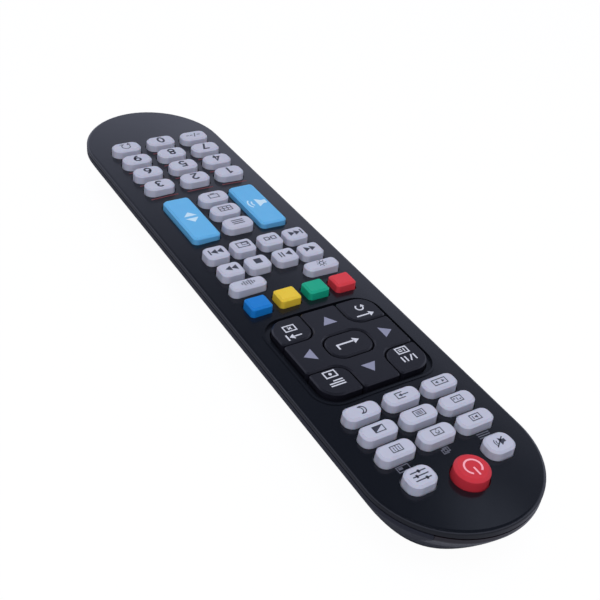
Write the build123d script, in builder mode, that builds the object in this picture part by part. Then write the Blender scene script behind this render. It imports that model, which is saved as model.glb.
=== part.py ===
"""Universal remote control: a long handset with round ends, two shells, a silicone keypad,
a four-way arrow pad, two rocker keys, a circuit board, two AAA cells and a hinged battery door.

Millimetres. +Y runs towards the emitter end, +X to the reader's right, +Z up. The origin lies
under the middle of the handset, on the surface that it rests on.
"""

import os
from math import sqrt

from build123d import *

os.makedirs("parts", exist_ok=True)

# Housing
body_length = 222.0
body_width = 50.0
body_height = 20.0
crown_drop = 0.8  # how far the crowned face falls from its middle to its edge
cover_plate = 2.25
cover_edge_round = 0.9
seam_height = 0.4
seam_depth = 0.5
case_wall = 1.8
case_floor = 1.8
crease_height = 15.9  # where the upright band turns into the slanting flank
floor_half = 14.0
flank_bulge = 0.45
floor_round = 2.5
crease_round = 1.6
tongue_depth = 1.5
tongue_wall = 1.2
tongue_clearance = 0.15
overrun = 1.0

# Keys and their stack above the board
key_travel = 0.8
key_gap = 0.25
key_draft = 0.25  # how much each side leans in from the flange to the top
key_bevel = 0.6
corner_spare = 0.05  # the least straight edge between two rounded corners, halved
soft_rise = 2.6
flange_lip = 0.5
flange_thickness = 0.8
flange_clearance = 0.3
contact_size = 3.4
contact_clearance = 0.05
sheet_thickness = 0.8
sheet_hole_gap = 0.6
board_thickness = 1.2

# Rows of keys: the power key is set from the emitter end and the last row of numbers from the
# tail. The rows between them lie at shares of the key field, which is the stretch between those.
power_margin = 15.9
tail_margin = 29.0
set_row_share = 4.1 / 177.1
wide_row_share = 13.65 / 177.1
wide_pitch_share = 7.36 / 177.1
colour_row_share = 78.25 / 177.1
mode_row_share = 87.45 / 177.1
play_row_share = 95.9 / 177.1
play_pitch_share = 9.55 / 177.1
menu_row_share = 117.8 / 177.1
menu_pitch_share = 8.65 / 177.1
rocker_row_share = 126.8 / 177.1
number_row_share = 148.9 / 177.1

# Number pad
number_margin = 6.4  # from the side of the handset to the outer keys, as for each group below
number_gap_x = 2.7
number_gap_y = 2.8
number_corner = 2.8

# Volume and channel rockers, with three keys between them
rocker_margin = 7.85
rocker_gap = 1.95
rocker_depth = 25.0
rocker_corner = 1.8
rocker_rise = 2.0
rocker_drop = 0.7  # extra room under the cover for the rising end
rocker_flange = 0.6
rocker_contact_inset = 3.9
rocker_contact_drop = 0.9

# Two rows of four playback keys
play_margin = 6.85
play_middle_gap = 1.8
play_gap_x = 1.25
play_gap_y = 2.65
play_corner = 2.0

# Two mode keys
mode_margin = 6.05
mode_gap = 13.9
mode_depth = 5.1
mode_corner = 2.1

# Four colour keys
colour_margin = 6.75
colour_middle_gap = 2.5
colour_gap = 2.4
colour_depth = 6.4
colour_corner = 1.2

# Arrow pad, enter key and four corner keys, which share one opening
pad_margin = 7.5
pad_tail_gap = 5.45
pad_emitter_gap = 5.055
pad_corner = 5.5
pad_gap = 0.35
pad_rise = 1.2
pad_bevel = 0.45
corner_inner_x_share = 6.1 / 35.0
corner_inner_y_share = 6.4 / 33.4
corner_inner_round = 4.0
corner_small_round = 1.0
corner_notch = 4.2  # how much of the flange stays clear of the cushion at the inner corner
enter_width_share = 13.9 / 35.0
enter_depth_share = 9.3 / 33.4
enter_corner = 3.8
enter_lip = 0.7
enter_flange = 0.55
enter_pocket_height = 1.15
enter_contact_half = 2.6
pad_lift = 1.0  # from the underside of the cover down to the underside of the arrow pad
pad_foot = 0.8
pad_foot_length = 4.0
pad_foot_lip = 0.6
cushion_gap = 0.45
cushion_thickness = 0.95
cushion_width_share = 20.0 / 35.0
cushion_depth_share = 17.6 / 33.4
cushion_hole_gap = 0.45

# Well and rim round the arrow pad
well_margin = 1.7
well_corner = 6.8
well_floor_drop = 1.1
rim_wall = 0.7
rim_height = 0.22

# Three rows of three wide keys
wide_margin = 6.875
wide_gap_x = 1.7
wide_gap_y = 1.81
wide_corner = 2.35

# Set, mute and power
set_margin = 8.2
set_gap = 3.35
set_depth = 6.9
set_corner = 2.9
power_radius = 4.85
power_rise = 3.4
power_bevel = 0.8

# Infrared emitter end
window_half = 17.4
window_floor = 11.5
window_reach = 8.0
window_gap = 0.1
led_radius = 2.5
led_flange = 0.4
led_flange_thickness = 1.0
led_length = 5.6
led_level = 14.4
led_setback = 0.4  # room between the dome and the slanting wall
lead_size = 0.5
lead_pitch = 2.54
lead_clearance = 0.3
lead_seat = 1.6

# Circuit board, chip and the posts that carry them
board_side_gap = 0.5
sheet_margin = 0.6
chip_width = 7.5
chip_length = 10.3
chip_height = 2.3
chip_row_share = 62.0 / 222.0
chip_leg = 0.45
chip_leg_reach = 1.3
chip_leg_pitch = 1.27
chip_leg_count = 8
post_radius = 2.4
post_column = 12.0
post_row_shares = (84.0 / 222.0, 47.0 / 222.0, 8.0 / 222.0)
tail_post_margin = 19.0

# Battery bay, cells, contacts and door
cell_radius = 5.15
cell_length = 43.7
cell_nub_radius = 1.9
cell_nub = 0.8
cell_pitch = 11.0
cell_clearance = 0.3
bay_centre = -40.0
bay_wall = 1.2
bay_side_gap = 0.8
bay_lintel = 4.6  # how high the end walls of the bay stop above the resting surface
contact_thickness = 0.4
contact_bow = 1.9
contact_width = 7.6
contact_foot = 4.9
door_width = 24.0
door_length = 60.0
door_thickness = 1.4
door_recess = 0.2
door_gap = 0.3
door_corner = 1.5
hook_width = 4.0
hook_spacing = 12.0
hook_reach = 1.6
hook_wall = 0.8
hook_gap = 0.3
latch_width = 7.0
latch_wall = 1.0
latch_height = 2.6
latch_inset = 0.2
grip_width = 9.0
grip_pitch = 1.8
grip_size = 0.8
grip_depth = 0.3
grip_count = 4
grip_start = 5.0

# Columns and widths of keys, from the width of the handset
number_width = (body_width - 2 * number_margin - 2 * number_gap_x) / 3
number_pitch_x = number_width + number_gap_x
rocker_width = body_width / 2 - rocker_margin - rocker_gap - number_width / 2
rocker_x = body_width / 2 - rocker_margin - rocker_width / 2
play_width = (body_width - 2 * play_margin - play_middle_gap - 2 * play_gap_x) / 4
play_inner_x = (play_width + play_middle_gap) / 2
play_outer_x = play_inner_x + play_width + play_gap_x
mode_width = (body_width - 2 * mode_margin - mode_gap) / 2
mode_x = (mode_width + mode_gap) / 2
colour_width = (body_width - 2 * colour_margin - colour_middle_gap - 2 * colour_gap) / 4
colour_inner_x = (colour_width + colour_middle_gap) / 2
colour_outer_x = colour_inner_x + colour_width + colour_gap
wide_width = (body_width - 2 * wide_margin - 2 * wide_gap_x) / 3
wide_pitch_x = wide_width + wide_gap_x
set_width = body_width / 2 - set_margin - set_gap - power_radius
set_x = body_width / 2 - set_margin - set_width / 2

# Rows and depths of keys, from the length of the handset
power_row = body_length / 2 - power_margin
last_row = tail_margin - body_length / 2
field = power_row - last_row
set_row = power_row - set_row_share * field
wide_top_row = power_row - wide_row_share * field
wide_pitch_y = wide_pitch_share * field
wide_depth = wide_pitch_y - wide_gap_y
colour_row = power_row - colour_row_share * field
mode_row = power_row - mode_row_share * field
play_row = power_row - play_row_share * field
play_pitch = play_pitch_share * field
play_depth = play_pitch - play_gap_y
menu_row = power_row - menu_row_share * field
menu_pitch = menu_pitch_share * field
rocker_y = power_row - rocker_row_share * field
rocker_contact_y = rocker_depth / 2 - rocker_contact_inset
number_top_row = power_row - number_row_share * field
number_pitch_y = (number_top_row - last_row) / 3
number_depth = number_pitch_y - number_gap_y

# Arrow pad and what stands in it, from the keys on each side of it
pad_width = body_width - 2 * pad_margin
pad_back = colour_row + colour_depth / 2 + pad_tail_gap
pad_front = wide_top_row - 2 * wide_pitch_y - wide_depth / 2 - pad_emitter_gap
pad_depth = pad_front - pad_back
pad_centre = (pad_front + pad_back) / 2
corner_inner_x = corner_inner_x_share * pad_width
corner_inner_y = corner_inner_y_share * pad_depth
enter_width = enter_width_share * pad_width
enter_depth = enter_depth_share * pad_depth
enter_round = min(enter_corner, enter_depth / 2 - corner_spare)
cushion_width = cushion_width_share * pad_width
cushion_depth = cushion_depth_share * pad_depth
well_width = pad_width + 2 * well_margin
well_depth = pad_depth + 2 * well_margin

# Levels and outlines that follow from the sizes above
end_radius = body_width / 2
end_centre = body_length / 2 - end_radius
underside = body_height - cover_plate
case_rim = underside - seam_height
crown_radius = (end_radius**2 + crown_drop**2) / (2 * crown_drop)
flank_slope = (end_radius - floor_half) / crease_height
flank_shift = case_wall * sqrt(1 + flank_slope**2)
inner_half = end_radius - case_wall
inner_floor_half = floor_half + flank_slope * case_floor - flank_shift
inner_crease = (inner_half - floor_half + flank_shift) / flank_slope
flange_top = underside - flange_clearance
flange_bottom = flange_top - flange_thickness
contact_bottom = flange_bottom - key_travel
sheet_top = contact_bottom - contact_clearance
board_top = sheet_top - sheet_thickness
board_bottom = board_top - board_thickness
board_half = floor_half + flank_slope * board_bottom - flank_shift - board_side_gap
pad_underside = underside - pad_lift
pad_top = body_height + pad_rise
window_top = case_rim
led_wall = floor_half + flank_slope * led_level - flank_shift
led_middle = end_centre + led_wall - (led_radius + led_setback) * sqrt(1 + flank_slope**2)
led_front = led_middle + led_radius
led_back = led_front - led_length
board_end = led_back - 2 * lead_clearance - lead_size
sheet_end = board_end - sheet_margin
bay_length = cell_length + cell_nub + 2 * (contact_bow + contact_thickness)
bay_half = cell_pitch / 2 + cell_radius + bay_side_gap
cell_axis = board_bottom - bay_wall - cell_clearance - cell_radius
door_front = bay_centre + door_length / 2
door_back = bay_centre - door_length / 2
door_top = door_recess + door_thickness


def crown_level(x):
    """Height of the crowned face at a distance x from the middle."""
    return body_height - crown_radius + sqrt(crown_radius**2 - x**2)


def boat(bottom, bottom_half, crease, side_half, top):
    """The housing's outline filled solid: slanting flanks under an upright band, round ends."""
    with BuildPart() as shape:
        with BuildSketch(Plane.XZ.offset(-end_centre)) as section:
            with BuildLine():
                Line((0, bottom), (bottom_half, bottom))
                SagittaArc((bottom_half, bottom), (side_half, crease), -flank_bulge)
                Line((side_half, crease), (side_half, top))
                Line((side_half, top), (0, top))
                Line((0, top), (0, bottom))
            make_face()
            fillet(section.vertices().sort_by_distance((bottom_half, bottom))[0], floor_round)
            fillet(section.vertices().sort_by_distance((side_half, crease))[0], crease_round)
        extrude(amount=end_centre)
        mirror(about=Plane.YZ)
        revolve(section.sketch, axis=Axis((0, end_centre, 0), (0, 0, 1)), revolution_arc=180)
        mirror(about=Plane.XZ)
    return shape.part


def crowned_plate(raise_by):
    """A long plate with the cover's crowned top, raised by a given amount."""
    with BuildPart() as plate:
        with BuildSketch(Plane.XZ.offset(-body_length / 2)):
            with BuildLine():
                Line((-end_radius, underside), (end_radius, underside))
                Line((end_radius, underside), (end_radius, crown_level(end_radius) + raise_by))
                ThreePointArc(
                    (end_radius, crown_level(end_radius) + raise_by),
                    (0, body_height + raise_by),
                    (-end_radius, crown_level(end_radius) + raise_by),
                )
                Line((-end_radius, crown_level(end_radius) + raise_by), (-end_radius, underside))
            make_face()
        extrude(amount=body_length)
    return plate.part


def keep(shape, name):
    """Label a finished piece and write it to its own file."""
    shape.part.label = name
    export_step(shape.part, f"parts/{name}.step")


# Where each silicone key stands: x, y, width, depth, corner radius and rise above the face
soft_keys = {}


def add_row(names, columns, row, width, depth, corner):
    """Note one row of like keys, from the reader's left to right."""
    roundest = min(width, depth) / 2 - corner_spare
    for name, column in zip(names, columns):
        soft_keys[name] = (column, row, width, depth, min(corner, roundest))


number_columns = (-number_pitch_x, 0, number_pitch_x)
number_rows = (
    ("key_1", "key_2", "key_3"),
    ("key_4", "key_5", "key_6"),
    ("key_7", "key_8", "key_9"),
    ("key_dash", "key_0", "key_recall"),
)
for step, names in enumerate(number_rows):
    row = number_top_row - step * number_pitch_y
    add_row(names, number_columns, row, number_width, number_depth, number_corner)

for step, name in enumerate(("key_menu", "key_guide", "key_tv")):
    row = menu_row - step * menu_pitch
    add_row((name,), (0,), row, number_width, number_depth, number_corner)

play_columns = (-play_outer_x, -play_inner_x, play_inner_x, play_outer_x)
play_rows = (
    ("key_rewind", "key_play_pause", "key_stop", "key_forward"),
    ("key_previous", "key_system", "key_size", "key_next"),
)
for step, names in enumerate(play_rows):
    row = play_row - step * play_pitch
    add_row(names, play_columns, row, play_width, play_depth, play_corner)

add_row(
    ("key_picture_mode", "key_sound_mode"), (-mode_x, mode_x), mode_row, mode_width, mode_depth, mode_corner
)

colour_columns = (-colour_outer_x, -colour_inner_x, colour_inner_x, colour_outer_x)
colour_names = ("key_red", "key_green", "key_yellow", "key_blue")
add_row(colour_names, colour_columns, colour_row, colour_width, colour_depth, colour_corner)

wide_columns = (-wide_pitch_x, 0, wide_pitch_x)
wide_rows = (
    ("key_text_hold", "key_text_reveal", "key_text_index"),
    ("key_text_size", "key_text_time", "key_text_mix"),
    ("key_aspect", "key_source", "key_sleep"),
)
for step, names in enumerate(wide_rows):
    row = wide_top_row - step * wide_pitch_y
    add_row(names, wide_columns, row, wide_width, wide_depth, wide_corner)

add_row(("key_mute", "key_set"), (-set_x, set_x), set_row, set_width, set_depth, set_corner)

rockers = {"volume_rocker": -rocker_x, "channel_rocker": rocker_x}
corner_keys = {
    "key_exit": (1, -1),
    "key_return": (-1, -1),
    "key_display": (1, 1),
    "key_dual_audio": (-1, 1),
}


# Bottom case: a boat-shaped tub with a battery bay, posts and an opening at the emitter end
cavity = boat(case_floor, inner_floor_half, inner_crease, inner_half, case_rim + overrun)
with BuildPart() as bottom_case:
    add(boat(0, floor_half, crease_height, end_radius, case_rim))
    with BuildSketch(Plane.XY.offset(case_rim)):
        SlotOverall(body_length - 2 * seam_depth, body_width - 2 * seam_depth, rotation=90)
    extrude(amount=seam_height)
    add(cavity, mode=Mode.SUBTRACT)
    with BuildSketch(Plane.XY.offset(case_rim)):
        SlotOverall(body_length - 2 * case_wall, body_width - 2 * case_wall, rotation=90)
    extrude(amount=seam_height + overrun, mode=Mode.SUBTRACT)
    # battery bay: two side walls, two end walls that hang from a roof under the board
    bay_outer_half = bay_half + bay_wall
    bay_outer_length = bay_length + 2 * bay_wall
    with BuildSketch(Plane.XY.offset(case_floor)):
        with Locations((0, bay_centre)):
            Rectangle(2 * bay_outer_half, bay_outer_length)
            Rectangle(2 * bay_half, bay_outer_length, mode=Mode.SUBTRACT)
    extrude(amount=board_bottom - case_floor)
    with BuildSketch(Plane.XY.offset(bay_lintel)):
        with Locations((0, bay_centre)):
            Rectangle(2 * bay_outer_half, bay_outer_length)
            Rectangle(2 * bay_outer_half, bay_length, mode=Mode.SUBTRACT)
    extrude(amount=board_bottom - bay_lintel)
    with BuildSketch(Plane.XY.offset(board_bottom - bay_wall)):
        with Locations((0, bay_centre)):
            Rectangle(2 * bay_outer_half, bay_outer_length)
    extrude(amount=bay_wall)
    # posts that carry the board
    with BuildSketch(Plane.XY.offset(case_floor)):
        for share in post_row_shares:
            post_row = share * body_length
            with Locations((-post_column, post_row), (post_column, post_row)):
                Circle(post_radius)
        with Locations((0, tail_post_margin - body_length / 2)):
            Circle(post_radius)
    extrude(amount=board_bottom - case_floor)
    # door opening
    with BuildSketch():
        with Locations((0, bay_centre)):
            RectangleRounded(door_width + 2 * door_gap, door_length + 2 * door_gap, door_corner + door_gap)
    extrude(amount=case_floor, mode=Mode.SUBTRACT)
    # opening for the infrared window
    with BuildSketch(Plane.XY.offset(window_floor)):
        with Locations((0, end_centre + window_reach)):
            Rectangle(2 * window_half, end_radius, align=(Align.CENTER, Align.MIN))
    extrude(amount=underside - window_floor, mode=Mode.SUBTRACT)
keep(bottom_case, "bottom_case")


# Infrared window: a slice of the housing wall, in smoked plastic, that stands on the case
with BuildPart() as infrared_window:
    add(boat(0, floor_half, crease_height, end_radius, window_top))
    add(cavity, mode=Mode.SUBTRACT)
    with BuildSketch(Plane.XY.offset(window_floor)):
        with Locations((0, end_centre + window_reach)):
            Rectangle(2 * (window_half - window_gap), end_radius, align=(Align.CENTER, Align.MIN))
    extrude(amount=window_top - window_floor, mode=Mode.INTERSECT)
keep(infrared_window, "infrared_window")


# Rim: a low crowned frame round the well of the arrow pad
with BuildPart() as rim:
    add(crowned_plate(rim_height))
    with BuildSketch(Plane.XY.offset(underside)):
        with Locations((0, pad_centre)):
            RectangleRounded(well_width + 2 * rim_wall, well_depth + 2 * rim_wall, well_corner + rim_wall)
    extrude(amount=cover_plate + rim_height, mode=Mode.INTERSECT)

# Top cover: a crowned plate with a tongue inside the case, a well and all the key openings
with BuildPart() as top_cover:
    add(crowned_plate(0))
    with BuildSketch(Plane.XY.offset(underside)):
        SlotOverall(body_length, body_width, rotation=90)
    extrude(amount=cover_plate, mode=Mode.INTERSECT)
    fillet(top_cover.faces().sort_by(Axis.Z)[-1].outer_wire().edges(), cover_edge_round)
    add(rim.part)
    tongue_half = inner_half - tongue_clearance
    with BuildSketch(Plane.XY.offset(underside)):
        SlotOverall(
            body_length - 2 * (end_radius - tongue_half), 2 * tongue_half, rotation=90
        )
        SlotOverall(
            body_length - 2 * (end_radius - tongue_half + tongue_wall),
            2 * (tongue_half - tongue_wall),
            rotation=90,
            mode=Mode.SUBTRACT,
        )
    extrude(amount=-tongue_depth)
    with BuildSketch(Plane.XY.offset(body_height - well_floor_drop)):
        with Locations((0, pad_centre)):
            RectangleRounded(well_width, well_depth, well_corner)
    extrude(amount=well_floor_drop + overrun, mode=Mode.SUBTRACT)
    with BuildSketch(Plane.XY.offset(underside)):
        for column, row, width, depth, corner in soft_keys.values():
            with Locations((column, row)):
                RectangleRounded(width + 2 * key_gap, depth + 2 * key_gap, corner + key_gap)
        for column in rockers.values():
            with Locations((column, rocker_y)):
                RectangleRounded(
                    rocker_width + 2 * key_gap, rocker_depth + 2 * key_gap, rocker_corner + key_gap
                )
        with Locations((0, power_row)):
            Circle(power_radius + key_gap)
        with Locations((0, pad_centre)):
            RectangleRounded(pad_width + 2 * pad_gap, pad_depth + 2 * pad_gap, pad_corner + pad_gap)
    extrude(amount=cover_plate + overrun, mode=Mode.SUBTRACT)
keep(top_cover, "top_cover")


def make_soft_key(name, column, row, width, depth, corner):
    """A silicone key: a drafted cap with a bevelled shoulder, a flange and a contact under it."""
    with BuildPart() as cap:
        with BuildSketch(Plane.XY.offset(flange_top)):
            with Locations((column, row)):
                RectangleRounded(width, depth, corner)
        with BuildSketch(Plane.XY.offset(crown_level(column) + soft_rise)):
            with Locations((column, row)):
                RectangleRounded(width - 2 * key_draft, depth - 2 * key_draft, corner - key_draft)
        loft(ruled=True)
        chamfer(cap.faces().sort_by(Axis.Z)[-1].edges(), key_bevel)
        with BuildSketch(Plane.XY.offset(flange_bottom)):
            with Locations((column, row)):
                Rectangle(width + 2 * flange_lip, depth + 2 * flange_lip)
        extrude(amount=flange_thickness)
        with BuildSketch(Plane.XY.offset(contact_bottom)):
            with Locations((column, row)):
                Rectangle(contact_size, contact_size)
        extrude(amount=key_travel)
    keep(cap, name)


for name, (column, row, width, depth, corner) in soft_keys.items():
    make_soft_key(name, column, row, width, depth, corner)


# Power key: a taller round cap
with BuildPart() as key_power:
    with BuildSketch(Plane.XY.offset(flange_top)):
        with Locations((0, power_row)):
            Circle(power_radius)
    with BuildSketch(Plane.XY.offset(body_height + power_rise)):
        with Locations((0, power_row)):
            Circle(power_radius - key_draft)
    loft(ruled=True)
    chamfer(key_power.faces().sort_by(Axis.Z)[-1].edges(), power_bevel)
    with BuildSketch(Plane.XY.offset(flange_bottom)):
        with Locations((0, power_row)):
            Circle(power_radius + flange_lip)
    extrude(amount=flange_thickness)
    with BuildSketch(Plane.XY.offset(contact_bottom)):
        with Locations((0, power_row)):
            Rectangle(contact_size, contact_size)
    extrude(amount=key_travel)
keep(key_power, "key_power")


def make_rocker(name, column):
    """A rocker key: a long drafted cap, a lower flange and one contact under each end."""
    flange = underside - rocker_drop - rocker_flange
    with BuildPart() as rocker:
        with BuildSketch(Plane.XY.offset(flange)):
            with Locations((column, rocker_y)):
                RectangleRounded(rocker_width, rocker_depth, rocker_corner)
        with BuildSketch(Plane.XY.offset(crown_level(column) + rocker_rise)):
            with Locations((column, rocker_y)):
                RectangleRounded(
                    rocker_width - 2 * key_draft, rocker_depth - 2 * key_draft, rocker_corner - key_draft
                )
        loft(ruled=True)
        chamfer(rocker.faces().sort_by(Axis.Z)[-1].edges(), key_bevel)
        with BuildSketch(Plane.XY.offset(flange)):
            with Locations((column, rocker_y)):
                Rectangle(rocker_width + 2 * flange_lip, rocker_depth + 2 * flange_lip)
        extrude(amount=rocker_flange)
        with BuildSketch(Plane.XY.offset(flange)):
            with Locations(
                (column, rocker_y - rocker_contact_y), (column, rocker_y + rocker_contact_y)
            ):
                Rectangle(contact_size, contact_size)
        extrude(amount=-rocker_contact_drop)
    keep(rocker, name)


for name, column in rockers.items():
    make_rocker(name, column)


def make_corner_key(name, side, end):
    """One of the four keys in the corners of the arrow pad, with an L-shaped lip."""
    inner_x = corner_inner_x + pad_gap / 2
    inner_y = corner_inner_y + pad_gap / 2
    key_width = pad_width / 2 - inner_x
    key_depth = pad_depth / 2 - inner_y
    middle = (side * (inner_x + key_width / 2), pad_centre + end * (inner_y + key_depth / 2))
    outer_corner = (side * pad_width / 2, pad_centre + end * pad_depth / 2)
    inner_corner = (side * inner_x, pad_centre + end * inner_y)
    lip = pad_gap + pad_foot_lip
    with BuildPart() as cap:
        with BuildSketch(Plane.XY.offset(flange_top)) as outline:
            with Locations(middle):
                Rectangle(key_width, key_depth)
            corners = outline.vertices()
            fillet(corners.sort_by_distance(outer_corner)[0], pad_corner)
            fillet(outline.vertices().sort_by_distance(inner_corner)[0], corner_inner_round)
            sharp = [
                outline.vertices().sort_by_distance((outer_corner[0], inner_corner[1]))[0],
                outline.vertices().sort_by_distance((inner_corner[0], outer_corner[1]))[0],
            ]
            fillet(sharp, corner_small_round)
        extrude(amount=pad_top - flange_top)
        chamfer(cap.faces().sort_by(Axis.Z)[-1].edges(), pad_bevel)
        with BuildSketch(Plane.XY.offset(flange_bottom)):
            with Locations((middle[0] + side * lip / 2, middle[1] + end * lip / 2)):
                Rectangle(key_width + lip, key_depth + lip)
            with Locations(inner_corner):
                Rectangle(2 * corner_notch, 2 * corner_notch, mode=Mode.SUBTRACT)
        extrude(amount=flange_thickness)
        with BuildSketch(Plane.XY.offset(contact_bottom)):
            with Locations(middle):
                Rectangle(contact_size, contact_size)
        extrude(amount=key_travel)
    keep(cap, name)


for name, (side, end) in corner_keys.items():
    make_corner_key(name, side, end)


# Arrow pad: one cross-shaped cap round the enter key, with a foot under each arm
arm_x = corner_inner_x - pad_gap / 2
arm_y = corner_inner_y - pad_gap / 2
with BuildPart() as arrow_pad:
    with BuildSketch(Plane.XY.offset(pad_underside)) as cross:
        with Locations((0, pad_centre)):
            Rectangle(pad_width, 2 * arm_y)
            Rectangle(2 * arm_x, pad_depth)
        elbows = cross.vertices().sort_by_distance((0, pad_centre))
        fillet(elbows[:4], corner_inner_round + pad_gap)
        fillet(cross.vertices().sort_by_distance((0, pad_centre))[-8:], corner_small_round)
    extrude(amount=pad_top - pad_underside)
    with BuildSketch(Plane.XY.offset(pad_underside)):
        with Locations((0, pad_centre)):
            RectangleRounded(
                enter_width + 2 * pad_gap, enter_depth + 2 * pad_gap, enter_round + pad_gap
            )
    extrude(amount=pad_top - pad_underside, mode=Mode.SUBTRACT)
    chamfer(arrow_pad.faces().sort_by(Axis.Z)[-1].edges(), pad_bevel)
    # pocket under the ring for the lip of the enter key
    with BuildSketch(Plane.XY.offset(pad_underside)):
        with Locations((0, pad_centre)):
            Rectangle(
                enter_width + 2 * (enter_lip + pad_gap), enter_depth + 2 * (enter_lip + pad_gap)
            )
    extrude(amount=enter_pocket_height, mode=Mode.SUBTRACT)
    with BuildSketch(Plane.XY.offset(pad_underside)):
        foot_reach = pad_foot_length + pad_gap + pad_foot_lip
        for side in (-1, 1):
            foot_x = side * (pad_width / 2 - pad_foot_length + foot_reach / 2)
            foot_y = side * (pad_depth / 2 - pad_foot_length + foot_reach / 2)
            with Locations((foot_x, pad_centre)):
                Rectangle(foot_reach, 2 * arm_y - corner_small_round)
            with Locations((0, pad_centre + foot_y)):
                Rectangle(2 * arm_x - corner_small_round, foot_reach)
    extrude(amount=-pad_foot)
keep(arrow_pad, "arrow_pad")


# Enter key: a rounded cap in the middle of the arrow pad
with BuildPart() as enter_key:
    enter_bottom = pad_underside
    with BuildSketch(Plane.XY.offset(enter_bottom)):
        with Locations((0, pad_centre)):
            RectangleRounded(enter_width, enter_depth, enter_round)
    extrude(amount=pad_top - enter_bottom)
    chamfer(enter_key.faces().sort_by(Axis.Z)[-1].edges(), pad_bevel)
    with BuildSketch(Plane.XY.offset(enter_bottom)):
        with Locations((0, pad_centre)):
            Rectangle(enter_width + 2 * enter_lip, enter_depth + 2 * enter_lip)
    extrude(amount=enter_flange)
    with BuildSketch(Plane.XY.offset(enter_bottom)):
        with Locations((0, pad_centre)):
            Rectangle(2 * enter_contact_half, 2 * enter_contact_half)
    extrude(amount=contact_bottom - enter_bottom)
keep(enter_key, "enter_key")


# Cushion: the silicone island that the arrow pad rocks on
cushion_top = pad_underside - cushion_gap
with BuildPart() as arrow_pad_cushion:
    with BuildSketch(Plane.XY.offset(cushion_top)):
        with Locations((0, pad_centre)):
            RectangleRounded(cushion_width, cushion_depth, corner_small_round)
            Rectangle(
                enter_width + 2 * (enter_lip + cushion_hole_gap),
                enter_depth + 2 * (enter_lip + cushion_hole_gap),
                mode=Mode.SUBTRACT,
            )
    extrude(amount=-cushion_thickness)
keep(arrow_pad_cushion, "arrow_pad_cushion")


# Keypad sheet: the silicone mat on the board, with a hole under each key
with BuildPart() as keypad_sheet:
    sheet_half = board_half - sheet_margin
    with BuildSketch(Plane.XY.offset(board_top)):
        SlotOverall(2 * (end_centre + sheet_half), 2 * sheet_half, rotation=90)
        with Locations((0, sheet_end)):
            Rectangle(body_width, body_length, align=(Align.CENTER, Align.MIN), mode=Mode.SUBTRACT)
        hole_size = contact_size + 2 * sheet_hole_gap
        for column, row, width, depth, corner in soft_keys.values():
            with Locations((column, row)):
                Rectangle(hole_size, hole_size, mode=Mode.SUBTRACT)
        for column in rockers.values():
            with Locations(
                (column, rocker_y - rocker_contact_y), (column, rocker_y + rocker_contact_y)
            ):
                Rectangle(hole_size, hole_size, mode=Mode.SUBTRACT)
        with Locations((0, power_row)):
            Rectangle(hole_size, hole_size, mode=Mode.SUBTRACT)
        with Locations((0, pad_centre)):
            RectangleRounded(
                pad_width + 2 * (pad_gap + pad_foot_lip + sheet_hole_gap),
                pad_depth + 2 * (pad_gap + pad_foot_lip + sheet_hole_gap),
                pad_corner,
                mode=Mode.SUBTRACT,
            )
    extrude(amount=sheet_thickness)
keep(keypad_sheet, "keypad_sheet")


# Circuit board: it lies on the bay roof and the posts, cut square behind the emitter
with BuildPart() as circuit_board:
    with BuildSketch(Plane.XY.offset(board_bottom)):
        SlotOverall(2 * (end_centre + board_half), 2 * board_half, rotation=90)
        with Locations((0, board_end)):
            Rectangle(body_width, body_length, align=(Align.CENTER, Align.MIN), mode=Mode.SUBTRACT)
    extrude(amount=board_thickness)
keep(circuit_board, "circuit_board")


# Controller chip: hangs under the board on two rows of legs
chip_row = chip_row_share * body_length
with BuildPart() as controller_chip:
    with BuildSketch(Plane.XY.offset(board_bottom)):
        with Locations((0, chip_row)):
            Rectangle(chip_width, chip_length)
    extrude(amount=-chip_height)
    with BuildSketch(Plane.XY.offset(board_bottom)):
        with Locations((0, chip_row)):
            with GridLocations(chip_width + chip_leg_reach, chip_leg_pitch, 2, chip_leg_count):
                Rectangle(chip_leg_reach, chip_leg)
    extrude(amount=-chip_leg)
keep(controller_chip, "controller_chip")


# Infrared emitter: a domed diode with two leads that step down under the board
with BuildPart() as infrared_led:
    with BuildSketch(Plane.XZ.offset(-led_back)):
        with Locations((0, led_level)):
            Circle(led_radius + led_flange)
    extrude(amount=-led_flange_thickness)
    with BuildSketch(Plane.XZ.offset(-led_back)):
        with Locations((0, led_level)):
            Circle(led_radius)
    extrude(amount=led_radius - led_length)
    with Locations((0, led_middle, led_level)):
        Sphere(led_radius)
    lead_bottom = board_bottom - lead_size
    riser_back = board_end + lead_clearance
    for lead_x in (-lead_pitch / 2, lead_pitch / 2):
        with BuildSketch(Plane.YZ.offset(lead_x - lead_size / 2)):
            with Locations((led_back, led_level)):
                Rectangle(led_back - riser_back, lead_size, align=(Align.MAX, Align.CENTER))
            with Locations((riser_back, lead_bottom)):
                Rectangle(lead_size, led_level + lead_size / 2 - lead_bottom, align=Align.MIN)
            with Locations((riser_back + lead_size, lead_bottom)):
                Rectangle(lead_size + lead_clearance + lead_seat, lead_size, align=(Align.MAX, Align.MIN))
        extrude(amount=lead_size)
keep(infrared_led, "infrared_led")


# Battery cells: two AAA cells, head to tail
cell_middle = cell_length / 2 + cell_nub / 2
with BuildPart() as battery_cells:
    for side in (-1, 1):
        start = bay_centre - side * cell_middle
        with BuildSketch(Plane.XZ.offset(-start)):
            with Locations((side * cell_pitch / 2, cell_axis)):
                Circle(cell_radius)
        extrude(amount=-side * cell_length)
        with BuildSketch(Plane.XZ.offset(-start - side * cell_length)):
            with Locations((side * cell_pitch / 2, cell_axis)):
                Circle(cell_nub_radius)
        extrude(amount=-side * cell_nub)
keep(battery_cells, "battery_cells")


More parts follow.
